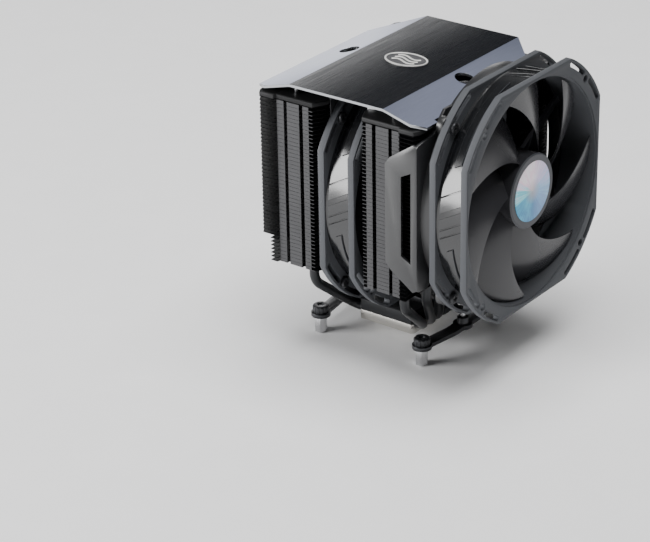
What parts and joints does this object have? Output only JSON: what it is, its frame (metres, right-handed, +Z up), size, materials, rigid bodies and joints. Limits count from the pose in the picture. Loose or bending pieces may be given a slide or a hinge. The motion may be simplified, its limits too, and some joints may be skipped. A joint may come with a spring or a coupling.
{
  "type": "cpu tower cooler",
  "caption": "Dual-tower processor cooler: finned towers on heat pipes, fans before and between them, a bent top cover and a spring-screw mounting bar.",
  "frame": {"origin": "centre of the cold plate's contact face", "axes": "+Z up away from the processor, +X along the fan axis out of the front fan's intake, Y across the fans"},
  "size_m": [0.1491, 0.1464, 0.1814],
  "materials": {
    "nickel_plate": "polished nickel on copper",
    "block_black": "satin black",
    "pipe_black": "black coating on copper",
    "fin_black": "satin black coating, pale edges",
    "cap_black": "matt black",
    "sleeve_steel": "bright",
    "bright_steel": "bright",
    "cover_black": "brushed, anodised",
    "badge_silver": "polished",
    "bracket_grey": "satin grey",
    "frame_plastic": "satin dark grey",
    "blade_plastic": "gloss black",
    "hub_film": "foil with a colour shift",
    "magnet_black": "matt",
    "bearing_bronze": "bronze",
    "core_steel": "laminated steel",
    "coil_copper": "enamelled wire",
    "board_green": "solder mask",
    "screw_steel": "nickel plated",
    "bar_black": "black zinc",
    "spring_steel": "drawn wire"
  },
  "bodies": {
    "cooler": {"badge": "badge_silver", "base_block": "block_black", "cold_plate": "nickel_plate", "cover_posts": "bright_steel", "front_cover_rail": "bright_steel", "front_driver_sleeve": "sleeve_steel", "front_fins": "fin_black", "front_mounting_bar": "bar_black", "front_screw_spring": "spring_steel", "front_tower_cap": "cap_black", "heat_pipe_1": "pipe_black", "heat_pipe_2": "pipe_black", "heat_pipe_3": "pipe_black", "heat_pipe_4": "pipe_black", "heat_pipe_5": "pipe_black", "heat_pipe_6": "pipe_black", "middle_fan_bearing": "bearing_bronze", "middle_fan_circuit_board": "board_green", "middle_fan_frame": "frame_plastic", "middle_fan_plate": "bright_steel", "middle_fan_screws": "screw_steel", "middle_stator_coils": "coil_copper", "middle_stator_core": "core_steel", "mounting_crossbar": "bar_black", "rear_driver_sleeve": "sleeve_steel", "rear_fins": "fin_black", "rear_mounting_bar": "bar_black", "rear_screw_spring": "spring_steel", "rear_tower_cap": "cap_black", "standoffs": "screw_steel", "thumb_nuts": "screw_steel", "top_cover": "cover_black"},
    "front_fan": {"front_fan_bracket": "bracket_grey", "front_fan_frame": "frame_plastic", "front_fan_screws": "screw_steel", "front_fan_bearing": "bearing_bronze", "front_fan_circuit_board": "board_green", "front_stator_core": "core_steel", "front_stator_coils": "coil_copper"},
    "front_rotor": {"front_fan_rotor": "blade_plastic", "front_hub_disc": "hub_film", "front_magnet_ring": "magnet_black", "front_fan_shaft": "bright_steel"},
    "middle_rotor": {"middle_fan_rotor": "blade_plastic", "middle_hub_disc": "hub_film", "middle_magnet_ring": "magnet_black", "middle_fan_shaft": "bright_steel"},
    "front_clip": {"front_retaining_clip": "bright_steel"},
    "front_screw": {"front_spring_screw": "screw_steel"},
    "rear_clip": {"rear_retaining_clip": "bright_steel"},
    "rear_screw": {"rear_spring_screw": "screw_steel"}
  },
  "joints": [
    {"name": "front_fan_height", "type": "slide", "parent": "cooler", "child": "front_fan", "axis": [0, 0, 1], "range_m": [-0.0117, 0]},
    {"name": "front_fan_spin", "type": "hinge", "parent": "front_fan", "child": "front_rotor", "pos_m": [0.0776, 0, 0.1039], "axis": [1, 0, 0], "continuous": true},
    {"name": "middle_fan_spin", "type": "hinge", "parent": "cooler", "child": "middle_rotor", "pos_m": [0, 0, 0.0922], "axis": [1, 0, 0], "continuous": true},
    {"name": "front_screw_travel", "type": "slide", "parent": "cooler", "child": "front_clip", "axis": [0, 0, 1], "range_m": [-0.003, 0], "stiffness_N_per_m": 9000, "springref_m": 0.004, "deforming": ["front_screw_spring"]},
    {"name": "front_screw_turn", "type": "hinge", "parent": "front_clip", "child": "front_screw", "pos_m": [0.0413, 0, 0.02], "axis": [0, 0, 1], "continuous": true},
    {"name": "rear_screw_travel", "type": "slide", "parent": "cooler", "child": "rear_clip", "axis": [0, 0, 1], "range_m": [-0.003, 0], "stiffness_N_per_m": 9000, "springref_m": 0.004, "deforming": ["rear_screw_spring"]},
    {"name": "rear_screw_turn", "type": "hinge", "parent": "rear_clip", "child": "rear_screw", "pos_m": [-0.0413, 0, 0.02], "axis": [0, 0, 1], "continuous": true}
  ]
}
